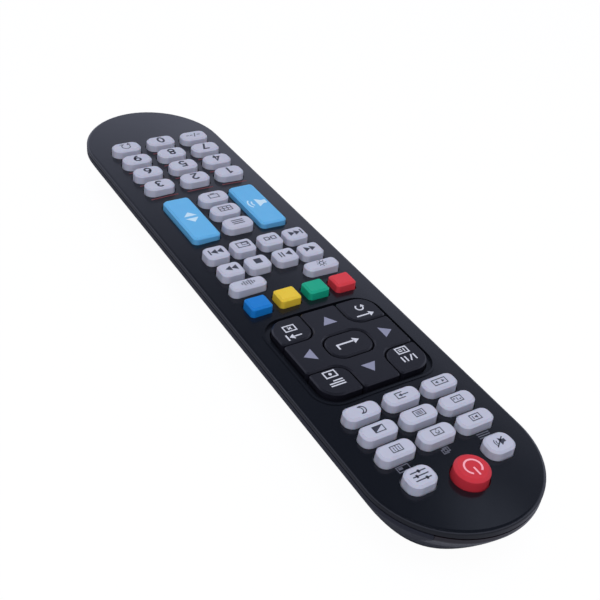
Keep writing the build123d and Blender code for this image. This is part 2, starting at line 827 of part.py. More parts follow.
# Battery contacts: bowed leaf strips, one at each end of each cell
with BuildPart() as battery_contacts:
    for end in (-1, 1):
        wall = bay_centre + end * bay_length / 2
        crest = wall - end * (contact_bow + contact_thickness)
        for side in (-1, 1):
            with BuildSketch(Plane.YZ.offset(side * cell_pitch / 2 - contact_width / 2)):
                with BuildLine():
                    Line((wall, contact_foot), (wall, 2 * cell_axis - contact_foot))
                    ThreePointArc(
                        (wall, 2 * cell_axis - contact_foot), (crest, cell_axis), (wall, contact_foot)
                    )
                make_face()
                with BuildLine():
                    Line(
                        (wall, contact_foot + contact_thickness),
                        (wall, 2 * cell_axis - contact_foot - contact_thickness),
                    )
                    ThreePointArc(
                        (wall, 2 * cell_axis - contact_foot - contact_thickness),
                        (crest + end * contact_thickness, cell_axis),
                        (wall, contact_foot + contact_thickness),
                    )
                make_face(mode=Mode.SUBTRACT)
            extrude(amount=contact_width)
keep(battery_contacts, "battery_contacts")


# Battery door: a plate with two hooks at its hinge end, a latch tab and grip grooves
with BuildPart() as battery_door:
    with BuildSketch(Plane.XY.offset(door_recess)):
        with Locations((0, bay_centre)):
            RectangleRounded(door_width, door_length, door_corner)
    extrude(amount=door_thickness)
    hook_level = case_floor + hook_gap
    with BuildSketch(Plane.XY.offset(door_top)):
        with Locations((-hook_spacing / 2, door_front), (hook_spacing / 2, door_front)):
            Rectangle(hook_width, hook_wall, align=(Align.CENTER, Align.MAX))
    extrude(amount=hook_level + hook_wall - door_top)
    with BuildSketch(Plane.XY.offset(hook_level)):
        with Locations((-hook_spacing / 2, door_front), (hook_spacing / 2, door_front)):
            Rectangle(hook_width, hook_reach, align=(Align.CENTER, Align.MIN))
    extrude(amount=hook_wall)
    with BuildSketch(Plane.XY.offset(door_top)):
        with Locations((0, door_back + latch_inset)):
            Rectangle(latch_width, latch_wall, align=(Align.CENTER, Align.MIN))
    extrude(amount=latch_height)
    with BuildSketch(Plane.XY.offset(door_recess)):
        for step in range(grip_count):
            with Locations((0, door_back + grip_start + step * grip_pitch)):
                Rectangle(grip_width, grip_size)
    extrude(amount=grip_depth, mode=Mode.SUBTRACT)
keep(battery_door, "battery_door")
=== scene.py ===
import math

import bmesh
import bpy
from mathutils import Matrix, Vector


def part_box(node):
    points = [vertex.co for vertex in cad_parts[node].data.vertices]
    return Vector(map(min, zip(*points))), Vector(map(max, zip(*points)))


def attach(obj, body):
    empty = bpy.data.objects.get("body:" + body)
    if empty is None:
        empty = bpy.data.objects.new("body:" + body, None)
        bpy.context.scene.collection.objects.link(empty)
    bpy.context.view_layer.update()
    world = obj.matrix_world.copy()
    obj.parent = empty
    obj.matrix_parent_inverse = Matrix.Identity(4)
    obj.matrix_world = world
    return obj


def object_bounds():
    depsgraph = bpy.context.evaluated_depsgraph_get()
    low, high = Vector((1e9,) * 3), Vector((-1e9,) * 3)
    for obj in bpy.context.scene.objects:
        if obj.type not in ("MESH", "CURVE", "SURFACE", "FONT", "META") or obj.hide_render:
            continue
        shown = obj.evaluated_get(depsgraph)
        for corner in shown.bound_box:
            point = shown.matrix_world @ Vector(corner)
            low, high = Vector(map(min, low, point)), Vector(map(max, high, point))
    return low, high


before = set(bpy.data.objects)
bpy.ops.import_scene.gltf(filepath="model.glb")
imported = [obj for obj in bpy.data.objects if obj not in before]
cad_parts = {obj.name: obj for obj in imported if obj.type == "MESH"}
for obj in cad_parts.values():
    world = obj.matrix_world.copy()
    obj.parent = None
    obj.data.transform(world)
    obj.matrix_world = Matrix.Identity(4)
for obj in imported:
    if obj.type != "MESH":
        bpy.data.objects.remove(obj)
cad_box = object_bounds()
MM = 0.001


# Studio: the handset lies on a pale floor under soft light. The camera looks down on it from the
# emitter end, so the writing is upside down, as in the photograph.
def linear(red, green, blue):
    """A colour written as it looks on a screen, from 0 to 255, in the shader's own values."""
    values = []
    for level in (red / 255, green / 255, blue / 255):
        values.append(level / 12.92 if level <= 0.04045 else ((level + 0.055) / 1.055) ** 2.4)
    return (*values, 1.0)


def feed(tree, node, inputs):
    """Give inputs of a node, by name or number, a value or another node's output."""
    for socket, given in inputs.items():
        if isinstance(given, bpy.types.NodeSocket):
            tree.links.new(given, node.inputs[socket])
        else:
            node.inputs[socket].default_value = given


def add(tree, kind, inputs=None, operation=None):
    """Add a node to a tree and feed its inputs."""
    node = tree.nodes.new(kind)
    if operation:
        node.operation = operation
    feed(tree, node, inputs or {})
    return node


camera_place = Vector((0.12772, 0.19128, 0.17965))
camera_right = Vector((-0.84727, 0.52003, 0.10818))
camera_up = Vector((-0.24096, -0.55781, 0.79422))
camera_back = camera_right.cross(camera_up)
camera_data = bpy.data.cameras.new("camera")
camera_data.sensor_width = 36.0
camera_data.lens = 54.39
camera_data.clip_start = 0.01
camera = bpy.data.objects.new("camera", camera_data)
turn = Matrix((camera_right, camera_up, camera_back)).transposed().to_4x4()
camera.matrix_world = Matrix.Translation(camera_place) @ turn
bpy.context.collection.objects.link(camera)
bpy.context.scene.camera = camera
bpy.context.scene.view_settings.view_transform = "Standard"

world = bpy.data.worlds.new("studio")
world.use_nodes = True
bpy.context.scene.world = world
sky = world.node_tree
sky.nodes.clear()
ray = add(sky, "ShaderNodeLightPath").outputs
direction = add(sky, "ShaderNodeTexCoord")
split = add(sky, "ShaderNodeSeparateXYZ", {"Vector": direction.outputs["Generated"]})
sweep = add(sky, "ShaderNodeValToRGB", {"Fac": split.outputs["Z"]})
low_stop, high_stop = sweep.color_ramp.elements
low_stop.position, low_stop.color = 0.42, (0.74, 0.78, 1.0, 1.0)
high_stop.position, high_stop.color = 0.67, (0.045, 0.06, 0.09, 1.0)
fill = add(sky, "ShaderNodeBackground", {"Color": (0.95, 0.97, 1.0, 1.0), "Strength": 0.53})
mirrored = add(sky, "ShaderNodeBackground", {"Color": sweep.outputs["Color"]})
backdrop = add(sky, "ShaderNodeBackground", {"Color": (1.0, 1.0, 1.0, 1.0)})
gloss_or_fill = add(sky, "ShaderNodeMixShader", {
    0: ray["Is Glossy Ray"], 1: fill.outputs[0], 2: mirrored.outputs[0],
})
seen_or_light = add(sky, "ShaderNodeMixShader", {
    0: ray["Is Camera Ray"], 1: gloss_or_fill.outputs[0], 2: backdrop.outputs[0],
})
add(sky, "ShaderNodeOutputWorld", {"Surface": seen_or_light.outputs[0]})

lamp_aim = Vector((0, 0.04, 0))
for lamp_name, place, size, power, colour, seen_in_gloss in (
    ("front_softbox", (0.26, 0.32, 0.98), 0.6, 5.9, (1.0, 1.0, 1.0), False),
    ("window_card", (-0.34, -0.12, 0.5), 0.12, 0.024, (0.72, 0.8, 1.0), True),
):
    lamp_data = bpy.data.lights.new(lamp_name, "AREA")
    lamp_data.shape = "DISK"
    lamp_data.size = size
    lamp_data.energy = power
    lamp_data.color = colour
    lamp = bpy.data.objects.new(lamp_name, lamp_data)
    lamp.location = place
    lamp.visible_glossy = seen_in_gloss
    lamp.rotation_euler = (lamp_aim - Vector(place)).to_track_quat("-Z", "Y").to_euler()
    bpy.context.collection.objects.link(lamp)

floor_mesh = bpy.data.meshes.new("floor")
floor_reach = 3.0
floor_mesh.from_pydata(
    [(-floor_reach, -floor_reach, 0), (floor_reach, -floor_reach, 0),
     (floor_reach, floor_reach, 0), (-floor_reach, floor_reach, 0)],
    [], [(0, 1, 2, 3)],
)
floor = bpy.data.objects.new("floor", floor_mesh)
bpy.context.collection.objects.link(floor)
paper = bpy.data.materials.new("floor_paper")
paper.use_nodes = True
tree = paper.node_tree
tree.nodes.clear()
ray = add(tree, "ShaderNodeLightPath").outputs
matt = add(tree, "ShaderNodeBsdfDiffuse", {"Color": (0.30, 0.31, 0.37, 1.0)})
lit = add(tree, "ShaderNodeEmission", {"Color": (1.0, 1.0, 1.0, 1.0), "Strength": 1.08})
lit_share = 0.9
share = add(tree, "ShaderNodeMath", {0: ray["Is Camera Ray"], 1: lit_share}, "MULTIPLY")
blend = add(tree, "ShaderNodeMixShader", {
    0: share.outputs[0], 1: matt.outputs[0], 2: lit.outputs[0],
})

# The floor is clear from below, and to soft light over a short reach, so that light gets to the
# underside and into the open battery bay.
near_reach = 0.03
near = add(tree, "ShaderNodeMath", {0: ray["Ray Length"], 1: near_reach}, "LESS_THAN")
near_and_soft = add(tree, "ShaderNodeMath", {
    0: near.outputs[0], 1: ray["Is Diffuse Ray"],
}, "MULTIPLY")
side = add(tree, "ShaderNodeNewGeometry")
see_through = add(tree, "ShaderNodeMath", {
    0: side.outputs["Backfacing"], 1: near_and_soft.outputs[0],
}, "MAXIMUM")
clear = add(tree, "ShaderNodeBsdfTransparent")
one_way = add(tree, "ShaderNodeMixShader", {
    0: see_through.outputs[0], 1: blend.outputs[0], 2: clear.outputs[0],
})
add(tree, "ShaderNodeOutputMaterial", {"Surface": one_way.outputs[0]})
floor_mesh.materials.append(paper)


# Top cover: one glossy moulding in black plastic with a faint blue cast. It has the soft smudges
# and the fine ripple of a polished mould, and it clips down into the case with its tongue.
def build_moulded_finish():
    """A node group: a colour that drifts a little, a roughness with smudges, and a fine grain."""
    group = bpy.data.node_groups.new("moulded_finish", "ShaderNodeTree")
    number, colour, vector = "NodeSocketFloat", "NodeSocketColor", "NodeSocketVector"
    for socket, kind in (
        ("Colour", colour), ("Drift", number), ("Drift Scale", number), ("Roughness", number),
        ("Smudge", number), ("Grain Scale", number), ("Grain Depth", number),
    ):
        group.interface.new_socket(name=socket, in_out="INPUT", socket_type=kind)
    for socket, kind in (("Colour", colour), ("Roughness", number), ("Normal", vector)):
        group.interface.new_socket(name=socket, in_out="OUTPUT", socket_type=kind)
    given = add(group, "NodeGroupInput").outputs
    place = add(group, "ShaderNodeTexCoord").outputs["Object"]
    noise_middle = 0.5

    drift = add(group, "ShaderNodeTexNoise", {
        "Vector": place, "Scale": given["Drift Scale"], "Detail": 3.0,
    })
    centred = add(group, "ShaderNodeMath", {0: drift.outputs["Fac"], 1: noise_middle}, "SUBTRACT")
    gain = add(group, "ShaderNodeMath", {
        0: centred.outputs[0], 1: given["Drift"], 2: 1.0,
    }, "MULTIPLY_ADD")
    tint = add(group, "ShaderNodeVectorMath", {
        0: given["Colour"], "Scale": gain.outputs[0],
    }, "SCALE")

    smudge = add(group, "ShaderNodeTexNoise", {
        "Vector": place, "Scale": 70.0, "Detail": 4.0, "Distortion": 0.6,
    })
    level = add(group, "ShaderNodeMath", {0: smudge.outputs["Fac"], 1: noise_middle}, "SUBTRACT")
    rough = add(group, "ShaderNodeMath", {
        0: level.outputs[0], 1: given["Smudge"], 2: given["Roughness"],
    }, "MULTIPLY_ADD")

    grain = add(group, "ShaderNodeTexNoise", {
        "Vector": place, "Scale": given["Grain Scale"], "Detail": 2.0,
    })
    bump = add(group, "ShaderNodeBump", {
        "Height": grain.outputs["Fac"], "Distance": given["Grain Depth"], "Strength": 0.5,
    })
    add(group, "NodeGroupOutput", {
        "Colour": tint.outputs[0], "Roughness": rough.outputs[0], "Normal": bump.outputs["Normal"],
    })
    return group


moulded_finish = build_moulded_finish()


def moulded(name, colour, roughness, drift=0.1, drift_scale=90.0, smudge=0.08,
            grain_scale=4000.0, grain_depth=0.00001, extra=None):
    """A material with the shared finish behind its shader, and extra inputs for the shader."""
    material = bpy.data.materials.new(name)
    material.use_nodes = True
    tree = material.node_tree
    finish = tree.nodes.new("ShaderNodeGroup")
    finish.node_tree = moulded_finish
    feed(tree, finish, {
        "Colour": linear(*colour), "Drift": drift, "Drift Scale": drift_scale,
        "Roughness": roughness, "Smudge": smudge,
        "Grain Scale": grain_scale, "Grain Depth": grain_depth,
    })
    feed(tree, tree.nodes["Principled BSDF"], {
        "Base Color": finish.outputs["Colour"],
        "Roughness": finish.outputs["Roughness"],
        "Normal": finish.outputs["Normal"],
        **(extra or {}),
    })
    return material


def dress(name, material):
    """Give a CAD node its finish."""
    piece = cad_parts[name]
    piece.data.materials.clear()
    piece.data.materials.append(material)
    return piece


gloss_black = moulded(
    "gloss_black_cover", (17, 19, 26), 0.2, drift=0.16, drift_scale=40.0, smudge=0.1,
    grain_scale=160.0, grain_depth=0.00002,
)
dress("top_cover", gloss_black)


# Bottom case: a tub in the same black plastic, less glossy, with the fine spark-eroded texture
# of its mould on the band and the flanks. The door hooks into its flat underside and swings.
case_black = moulded(
    "satin_black_case", (36, 38, 50), 0.42, drift=0.1, smudge=0.08,
    grain_scale=2600.0, grain_depth=0.00004, extra={"Specular IOR Level": 0.32},
)
for name in ("bottom_case", "battery_door"):
    dress(name, case_black)


# Infrared window: a smoked strip at the emitter end that looks black and passes infrared light.
# It is pinched between the case and the top cover.
smoked = moulded(
    "smoked_window", (26, 18, 26), 0.12, drift=0.2, smudge=0.06, grain_scale=300.0,
    extra={"Coat Weight": 0.5},
)
dress("infrared_window", smoked)


# Silicone keys: soft caps that stand up through the cover, with the dry sheen and the faint
# cloudiness of silicone rubber. Each is pushed back up by the sheet under it.
merge_reach = 0.000001


def silicone(name, colour, roughness=0.5):
    """A silicone finish in one colour."""
    return moulded(
        name, colour, roughness, drift=0.07, drift_scale=260.0, smudge=0.12,
        grain_scale=5200.0, grain_depth=0.00003,
        extra={
            "Specular IOR Level": 0.3, "Subsurface Weight": 0.12, "Subsurface Scale": 0.0012,
        },
    )


def soften(piece, width):
    """Round off the moulded edges of a key."""
    weld = piece.modifiers.new("weld", "WELD")
    weld.merge_threshold = merge_reach
    bevel = piece.modifiers.new("soft_edges", "BEVEL")
    bevel.width = width
    bevel.segments = 4
    bevel.limit_method = "ANGLE"
    bevel.angle_limit = math.radians(28)
    bevel.use_clamp_overlap = True


pale_silicone = silicone("pale_silicone", (186, 188, 208), 0.42)
text_keys = (
    "key_text_hold", "key_text_reveal", "key_text_index",
    "key_text_size", "key_text_time", "key_text_mix",
)
number_keys = [f"key_{number}" for number in range(10)] + ["key_dash", "key_recall"]
play_keys = (
    "key_rewind", "key_play_pause", "key_stop", "key_forward",
    "key_previous", "key_system", "key_size", "key_next",
)
pale_keys = [
    *text_keys, *number_keys, *play_keys, "key_aspect", "key_source", "key_sleep", "key_mute",
    "key_set", "key_picture_mode", "key_sound_mode", "key_menu", "key_guide", "key_tv",
]
soft_edge = 0.4 * MM
for name in pale_keys:
    soften(dress(name, pale_silicone), soft_edge)

coloured = {
    "key_red": (210, 58, 70),
    "key_green": (18, 162, 132),
    "key_yellow": (228, 194, 60),
    "key_blue": (18, 120, 204),
    "key_power": (200, 50, 64),
}
power_soft_edge = 0.56 * MM
for name, colour in coloured.items():
    rounding = power_soft_edge if name == "key_power" else soft_edge
    soften(dress(name, silicone(f"{name}_silicone", colour)), rounding)

rocker_blue = silicone("rocker_blue_silicone", (100, 176, 230))
for name in ("volume_rocker", "channel_rocker"):
    soften(dress(name, rocker_blue), soft_edge)


# Arrow pad, enter key and corner keys: satin black caps that share one opening in the well of
# the cover. The pad rocks on a silicone island, and the other five press straight down.
pad_black = moulded(
    "satin_black_pad", (20, 20, 29), 0.36, drift=0.1, smudge=0.1,
    grain_scale=3600.0, grain_depth=0.00002,
)
corner_keys = ("key_exit", "key_return", "key_display", "key_dual_audio")
pad_soft_edge = 0.18 * MM
for name in ("arrow_pad", "enter_key", *corner_keys):
    soften(dress(name, pad_black), pad_soft_edge)


# Marks on the keys: printed numbers and plain pictures. Each is a film of ink a few hundredths of
# a millimetre thick that moves with the key under it.
ink_depth = 0.05
ink_proud = 0.015
line_width = 0.34
corner_merge = 0.002


def ink(name, colour):
    """Printing ink, a little uneven."""
    return moulded(name, colour, 0.55, drift=0.12, drift_scale=900.0, grain_scale=9000.0)


dark_ink = ink("dark_grey_ink", (54, 56, 72))
white_ink = ink("white_ink", (206, 208, 222))
arrow_ink = ink("lavender_ink", (136, 138, 164))
pink_ink = ink("pink_ink", (246, 168, 184))
grey_ink = ink("grey_ink", (92, 94, 108))
pale_blue_ink = ink("pale_blue_ink", (196, 224, 246))
red_ink = ink("dull_red_ink", (106, 50, 58))


def run(points, width=line_width, closed=False):
    """A line of even width through the points, as one four-sided face for each stretch."""
    points = [Vector(point) for point in points]
    count = len(points)
    sides = []
    for index, point in enumerate(points):
        before = points[index - 1] if closed or index else None
        after = points[(index + 1) % count] if closed or index < count - 1 else None
        steps = [(b - a).normalized() for a, b in ((before, point), (point, after)) if a and b]
        along = sum(steps, Vector((0, 0))).normalized()
        across = Vector((-along.y, along.x))
        reach = width / 2 / max(0.5, along.dot(steps[0]))
        sides.append((point + across * reach, point - across * reach))
    stretches = count if closed else count - 1
    return [
        (sides[i][0], sides[i][1], sides[(i + 1) % count][1], sides[(i + 1) % count][0])
        for i in range(stretches)
    ]


def bow(x, y, across, up, start, end, steps=16):
    """Points along part of an ellipse, with its angles in degrees."""
    turns = [math.radians(start + (end - start) * i / steps) for i in range(steps + 1)]
    return [(x + across * math.cos(a), y + up * math.sin(a)) for a in turns]


def ring(x, y, across, up, width=line_width):
    """A closed oval line."""
    return run(bow(x, y, across, up, 0, 360, 24)[:-1], width, True)


def arc(x, y, radius, start=0, end=360, width=line_width):
    """A ring or part of a ring, with its angles in degrees."""
    if end - start == 360:
        return ring(x, y, radius, radius, width)
    return run(bow(x, y, radius, radius, start, end, 24), width)


def frame_line(width, height, x=0, y=0, thickness=line_width):
    """The outline of a rectangle."""
    w, h = width / 2, height / 2
    return run([(x - w, y - h), (x + w, y - h), (x + w, y + h), (x - w, y + h)], thickness, True)


def block(width, height, x=0, y=0):
    """A filled rectangle."""
    w, h = width / 2, height / 2
    return [((x - w, y - h), (x + w, y - h), (x + w, y + h), (x - w, y + h))]


def wedge(x, y, length, half, angle=0):
    """A filled triangle that points along an angle in degrees, with its base's middle at x, y."""
    turn = Matrix.Rotation(math.radians(angle), 2)
    corners = [Vector((0, -half)), Vector((length, 0)), Vector((0, half))]
    return [tuple(turn @ corner + Vector((x, y)) for corner in corners)]


def dot(x, y, radius):
    """A filled disc."""
    turns = [math.radians(30 * i) for i in range(12)]
    return [tuple((x + radius * math.cos(a), y + radius * math.sin(a)) for a in turns)]


def resized(shapes, share):
    """The same shapes, larger or smaller about their origin."""
    return [[(point[0] * share, point[1] * share) for point in shape] for shape in shapes]


crown_top, crown_drop = 20.0, 0.8


def crown(x):
    """Height of the crowned cover at x."""
    return crown_top - crown_drop * (x * MM / cad_box[1][0]) ** 2


def print_mark(name, shapes, material, body, x, y, level=None):
    """Lay flat shapes, in millimetres, on a key's top or on the crowned cover."""
    mesh = bpy.data.meshes.new(name)
    sheet = bmesh.new()
    for shape in shapes:
        corners = []
        for point in shape:
            px, py = point[0] + x, point[1] + y
            pz = crown(px) + ink_proud if level is None else level
            corners.append(sheet.verts.new((px * MM, py * MM, (pz - ink_depth) * MM)))
        sheet.faces.new(corners)
    bmesh.ops.remove_doubles(sheet, verts=sheet.verts, dist=corner_merge * MM)
    lifted = bmesh.ops.extrude_face_region(sheet, geom=sheet.faces[:], use_keep_orig=True)
    top = [part for part in lifted["geom"] if isinstance(part, bmesh.types.BMVert)]
    bmesh.ops.translate(sheet, verts=top, vec=(0, 0, (ink_depth + ink_proud) * MM))
    bmesh.ops.recalc_face_normals(sheet, faces=sheet.faces[:])

    # An extrusion comes out in another order each time, so the corners and faces are put in order.
    ordered = sorted(sheet.verts, key=lambda corner: tuple(corner.co))
    for index, corner in enumerate(ordered):
        corner.index = index
    faces = [[corner.index for corner in face.verts] for face in sheet.faces]
    mesh.from_pydata([tuple(corner.co) for corner in ordered], [], sorted(faces, key=sorted))
    sheet.free()
    mesh.materials.append(material)
    mark = bpy.data.objects.new(name, mesh)
    bpy.context.collection.objects.link(mark)
    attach(mark, body)


def key_top(node):
    """The middle of a key's top, in millimetres."""
    low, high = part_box(node)
    return (low.x + high.x) / 2 / MM, (low.y + high.y) / 2 / MM, high.z / MM


def mark_key(node, shapes, material, shift=(0, 0), suffix="mark"):
    """Print shapes on a key, centred on its top."""
    x, y, level = key_top(node)
    x, y = x + shift[0], y + shift[1]
    print_mark(f"{node}_{suffix}", shapes, material, node, x, y, level)


stroke = 0.7
loop_and_tail = ring(0, -0.68, 0.95, 0.9, stroke) + run(
    [(0.62, 1.55), (-0.3, 0.95), (-0.86, 0.1), (-0.95, -0.68)], stroke
)
numbers = (
    ring(0, 0, 0.98, 1.55, stroke),
    run([(-0.75, 0.95), (0.2, 1.6), (0.2, -1.85)], stroke),
    run(bow(0, 0.7, 0.92, 0.86, 165, -35) + [(-0.95, -1.57), (1.1, -1.57)], stroke),
    run(bow(-0.05, 0.78, 0.82, 0.78, 155, -90), stroke)
    + run(bow(-0.05, -0.72, 0.98, 0.85, 90, -155), stroke),
    run([(0.45, -1.85), (0.45, 1.5), (-1.0, -0.75), (1.2, -0.75)], stroke),
    run(
        [(0.95, 1.55), (-0.72, 1.55), (-0.85, 0.05)] + bow(0, -0.62, 0.98, 0.92, 130, -150), stroke
    ),
    loop_and_tail,
    run([(-1.05, 1.55), (1.0, 1.55), (-0.35, -1.85)], stroke),
    ring(0, 0.8, 0.78, 0.76, stroke) + ring(0, -0.74, 0.96, 0.84, stroke),
    resized(loop_and_tail, -1),
)
number_share = 1.06
for number, shapes in enumerate(numbers):
    mark_key(f"key_{number}", resized(shapes, number_share), dark_ink)

triangle, half_triangle, bar_height = 2.0, 1.25, 2.5
backward = wedge(0.1, 0, triangle, half_triangle, 180) + wedge(2.1, 0, triangle, half_triangle, 180)
forward = wedge(-2.1, 0, triangle, half_triangle) + wedge(-0.1, 0, triangle, half_triangle)
page = frame_line(3.9, 2.5)
sun_rays = [
    run([(1.15 * math.cos(turn), 1.15 * math.sin(turn)),
         (1.65 * math.cos(turn), 1.65 * math.sin(turn))], 0.3)
    for turn in (i * math.pi / 4 for i in range(8))
]
sound_bars = [
    block(0.36, tall, (i - 2.5) * 0.8) for i, tall in enumerate((0.9, 1.9, 2.6, 1.5, 2.2, 0.9))
]
sliders = [
    block(4.6, 0.34, 0, (1 - i) * 1.25) + block(0.62, 1.0, knob, (1 - i) * 1.25)
    for i, knob in enumerate((-1.0, 1.1, -0.2))
]
dark_marks = {
    "key_dash": block(1.3, 0.4, -1.9) + run([(-0.9, -1.3), (0.1, 1.3)]) + block(1.1, 0.4, 1.0)
    + block(1.1, 0.4, 2.5),
    "key_recall": arc(0.2, 0.1, 1.5, -60, 200) + wedge(-1.2, -0.9, 1.3, 0.8, -90)
    + block(1.6, 0.36, 1.2, -1.5),
    "key_rewind": backward,
    "key_forward": forward,
    "key_previous": block(0.5, bar_height, -2.3) + backward,
    "key_next": forward + block(0.5, bar_height, 2.3),
    "key_play_pause": wedge(-2.0, 0, triangle, half_triangle) + block(0.45, bar_height, 0.9)
    + block(0.45, bar_height, 1.9),
    "key_stop": block(2.4, 2.4),
    "key_menu": block(4.2, 0.42, 0, 0.95) + block(4.2, 0.42) + block(4.2, 0.42, 0, -0.95),
    "key_guide": frame_line(4.4, 2.4) + block(4.4, 0.3) + block(0.3, 2.4, -0.75)
    + block(0.3, 2.4, 0.75),
    "key_tv": frame_line(3.4, 2.0, 0, 0.3) + block(1.6, 0.34, 0, -1.2),
    "key_system": frame_line(1.5, 1.5, -1.2) + frame_line(1.5, 1.5, 1.2) + block(0.9, 0.34),
    "key_size": frame_line(4.0, 2.4) + frame_line(1.9, 1.1, -0.7, -0.35, 0.26),
    "key_aspect": frame_line(5.0, 2.3) + wedge(0.75, 0, 1.1, 0.6) + wedge(-0.75, 0, 1.1, 0.6, 180),
    "key_source": run([(-0.6, 1.15), (2.1, 1.15), (2.1, -1.15), (-0.6, -1.15)])
    + block(2.6, 0.36, -1.0) + wedge(0.2, 0, 1.1, 0.7),
    "key_sleep": arc(0.2, 0, 1.25, 60, 300) + arc(0.95, 0, 1.15, 110, 250, 0.3),
    "key_picture_mode": sum(sun_rays, arc(0, 0, 0.75)),
    "key_sound_mode": sum(sound_bars, []),
    "key_set": sum(sliders, []),
    "key_mute": block(0.8, 1.2, -1.6) + [((-1.2, -0.6), (0.0, -1.5), (0.0, 1.5), (-1.2, 0.6))]
    + arc(0.1, 0, 1.0, -45, 45, 0.3) + arc(0.1, 0, 1.7, -45, 45, 0.3)
    + run([(-1.9, -1.5), (2.0, 1.6)], 0.36),
    "key_text_index": page + block(0.3, 2.5) + dot(-0.95, 0.6, 0.22)
    + block(0.3, 1.0, -0.95, -0.25) + dot(0.95, 0.6, 0.22) + block(0.3, 1.0, 0.95, -0.25),
    "key_text_reveal": page + arc(0, 0.1, 0.62, -30, 210) + dot(0, -0.75, 0.24),
    "key_text_hold": page + wedge(-0.9, 0, 1.3, 0.7) + block(0.34, 1.4, 0.95),
    "key_text_size": page + block(0.3, 1.3) + wedge(-1.1, 0.1, 0.7, 0.45, 90)
    + wedge(1.1, -0.1, 0.7, 0.45, -90),
    "key_text_time": page + block(2.5, 0.28, 0, 0.55) + block(2.5, 0.28, 0, 0)
    + block(2.5, 0.28, 0, -0.55),
    "key_text_mix": page + [((-1.9, -1.2), (1.9, -1.2), (1.9, 1.2))],
}
mark_share = {
    **dict.fromkeys(text_keys, 0.78), "key_aspect": 0.86, "key_source": 0.86, "key_mute": 0.86,
}
for node, shapes in dark_marks.items():
    mark_key(node, resized(shapes, mark_share.get(node, 1.0)), dark_ink)

power_sign = arc(0, 0, 2.25, 125, 415, 0.5) + block(0.5, 2.6, 0, 1.5)
mark_key("key_power", power_sign, pink_ink)
speaker = block(1.0, 1.4, -1.9) + [((-1.4, -0.7), (0.0, -1.7), (0.0, 1.7), (-1.4, 0.7))]
speaker += arc(0.1, 0, 1.2, -45, 45, 0.36) + arc(0.1, 0, 2.1, -45, 45, 0.36)
mark_key("volume_rocker", resized(speaker, 1.45), pale_blue_ink)
up_and_down = wedge(0, 0.4, 1.6, 1.5, 90) + wedge(0, -0.4, 1.6, 1.5, -90)
mark_key("channel_rocker", resized(up_and_down, 1.5), pale_blue_ink)

enter_arrow = run([(3.7, 1.4), (3.7, -0.4), (-2.0, -0.4)], 0.55) + wedge(-1.8, -0.4, 1.9, 1.2, 180)
mark_key("enter_key", enter_arrow, white_ink)
boxed = frame_line(3.5, 2.3, 0, 0, 0.4)
corner_icons = {
    "key_exit": boxed + run([(-0.6, -0.5), (0.6, 0.5)], 0.36)
    + run([(-0.6, 0.5), (-0.08, 0.08)], 0.36) + run([(0.08, -0.08), (0.6, -0.5)], 0.36),
    "key_return": arc(0, 0, 1.15, -60, 190, 0.45) + wedge(-1.15, -0.1, 1.1, 0.75, -90),
    "key_display": boxed + dot(0, 0, 0.5),
    "key_dual_audio": boxed + block(0.36, 1.3, -0.7) + block(1.2, 0.36, 0.6, 0.3)
    + block(1.2, 0.36, 0.6, -0.35),
}
corner_signs = {
    "key_exit": block(2.6, 0.42, -0.7) + wedge(0.5, 0, 1.5, 1.05) + block(0.5, 2.4, 2.6),
    "key_return": block(4.4, 0.5, 0.9) + wedge(-1.2, 0, 1.6, 1.1, 180),
    "key_display": block(4.6, 0.42, 0, 0.85) + block(4.6, 0.42) + block(3.0, 0.42, -0.8, -0.85),
    "key_dual_audio": block(0.45, 2.2, -2.0) + run([(-1.3, -1.1), (-0.1, 1.1)], 0.42)
    + block(0.45, 2.2, 0.9) + block(0.45, 2.2, 2.1),
}
lean_x, lean_y, half_pitch = 0.4, 1.6, 1.75
for node in corner_keys:
    low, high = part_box(node)
    side = 1 if low.x > 0 else -1
    end = 1 if (low.y + high.y) / 2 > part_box("enter_key")[0].y else -1
    for signs, step, suffix in (
        (corner_signs, half_pitch, "upper_mark"), (corner_icons, -half_pitch, "lower_mark"),
    ):
        shift = (-side * lean_x, -end * lean_y + step)
        mark_key(node, signs[node], white_ink, shift, suffix)

arrow_reach_x, arrow_reach_y = 11.4, 9.3
arrow_length, arrow_half = 3.4, 2.3
arrows = []
for angle in (0, 90, 180, 270):
    turn = math.radians(angle)
    x, y = arrow_reach_x * math.cos(turn), arrow_reach_y * math.sin(turn)
    arrows += wedge(x, y, arrow_length, arrow_half, angle)
mark_key("arrow_pad", arrows, arrow_ink)


